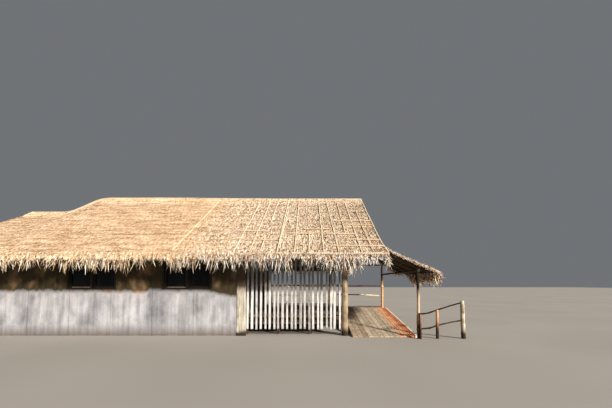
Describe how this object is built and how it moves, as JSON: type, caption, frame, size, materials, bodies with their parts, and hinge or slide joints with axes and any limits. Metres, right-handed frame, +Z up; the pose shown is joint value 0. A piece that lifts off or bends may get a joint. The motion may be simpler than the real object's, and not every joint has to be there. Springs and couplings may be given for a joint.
{
  "type": "thatched cabin",
  "caption": "Long low cabin with plastered rooms, a deep thatched gable roof, a slatted open veranda, an entry ramp and a small thatched canopy.",
  "frame": {"origin": "on the ground at the middle of the main body's length and depth", "axes": "+X along the ridge towards the veranda end, +Y from the front to the back, +Z up"},
  "size_m": [16.7328, 8.36, 5.34],
  "materials": {
    "plaster": "hand-trowelled mud and cement plaster, matt, stained low down",
    "cement": "floated cement, matt",
    "thatch": "dry grass thatch, sun bleached, matt",
    "grey_timber": "weathered grey timber",
    "pale_timber": "bare pale timber, weathered",
    "dark_timber": "dark stained timber",
    "red_timber": "reddish oiled timber",
    "cream_paint": "cream painted timber, worn",
    "bamboo": "bare bamboo and poles",
    "glass": "plain window glass"
  },
  "bodies": {
    "root": {"front_wall": "plaster", "back_wall": "plaster", "left_end_wall": "plaster", "room_end_wall": "plaster", "raised_floor": "cement", "door_sill": "cement", "door_frame": "red_timber", "window_frame_front_left": "dark_timber", "window_frame_front_right": "dark_timber", "window_frame_back_left": "dark_timber", "window_frame_back_right": "dark_timber", "window_glass_front_left": "glass", "window_glass_front_right": "glass", "window_glass_back_left": "glass", "window_glass_back_right": "glass", "corner_post_front": "pale_timber", "corner_post_back": "pale_timber", "trunk_post_front": "grey_timber", "trunk_post_back": "grey_timber", "veranda_deck": "grey_timber", "deck_frame": "grey_timber", "slat_screen": "pale_timber", "veranda_back_railing": "grey_timber", "wall_plate_front": "grey_timber", "wall_plate_back": "grey_timber", "ridge_pole": "grey_timber", "truss_left": "grey_timber", "truss_middle": "grey_timber", "truss_veranda": "grey_timber", "truss_gable": "grey_timber", "roof_thatch_front": "thatch", "roof_thatch_back": "thatch", "roof_frame_front": "bamboo", "roof_frame_back": "bamboo", "eave_fringe_front": "thatch", "eave_fringe_back": "thatch", "ridge_cap": "thatch", "landing": "grey_timber", "ramp": "grey_timber", "ramp_kerb": "cream_paint", "landing_railing": "red_timber", "canopy_thatch": "thatch", "canopy_frame": "bamboo", "porch_post_back": "bamboo", "porch_cross_beam": "grey_timber", "porch_beam": "grey_timber", "porch_post_front": "grey_timber", "entry_fence": "grey_timber"}
  },
  "joints": []
}
